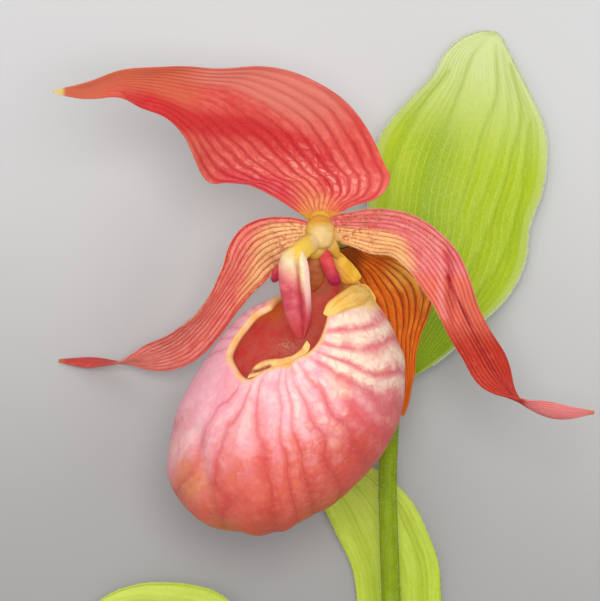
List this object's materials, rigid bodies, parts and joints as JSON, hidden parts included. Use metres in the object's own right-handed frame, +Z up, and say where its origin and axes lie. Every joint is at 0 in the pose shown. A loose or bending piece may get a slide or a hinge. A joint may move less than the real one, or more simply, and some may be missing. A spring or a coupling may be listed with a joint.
{
  "type": "cut orchid flower on its stem",
  "caption": "Lady's slipper orchid flower on a cut green stem, lying on its back: inflated open pouch, twisted side petals, arching striped sepal, pleated bract and stem leaves.",
  "frame": {"origin": "middle of the object's bounding box in plan, on the surface it lies on", "axes": "+Z up from the surface; the stem runs from the flower towards -Y, so +Y is the way the plant grew; the dorsal sepal and the left petal reach to -X, the right petal to +X"},
  "size_m": [0.1086, 0.1762, 0.0753],
  "materials": {
    "stem_green": "soft green skin with short hairs",
    "bract_green": "pleated lime green leaf, satin",
    "leaf_green": "ribbed green leaf, satin",
    "sepal_red": "salmon to coral with red stripes, satin",
    "petal_red": "coral red with fine stripes, satin",
    "synsepal_orange": "orange brown with dark red stripes, satin",
    "pouch_pink": "pink and cream with a net of coral veins, waxy",
    "column_yellow": "cream yellow, waxy",
    "staminode_pink": "cream to magenta pink, waxy",
    "anther_crimson": "crimson, waxy"
  },
  "bodies": {
    "root": {"stem": "stem_green", "ovary": "stem_green", "floral_bract": "bract_green", "stem_leaf_upper": "leaf_green", "stem_leaf_lower": "leaf_green", "dorsal_sepal": "sepal_red", "petal_left": "petal_red", "petal_right": "petal_red", "synsepal": "synsepal_orange", "pouch": "pouch_pink", "column": "column_yellow", "staminode": "staminode_pink", "anther_left": "anther_crimson", "anther_right": "anther_crimson", "stigma": "column_yellow", "lip_collar": "column_yellow"}
  },
  "joints": []
}
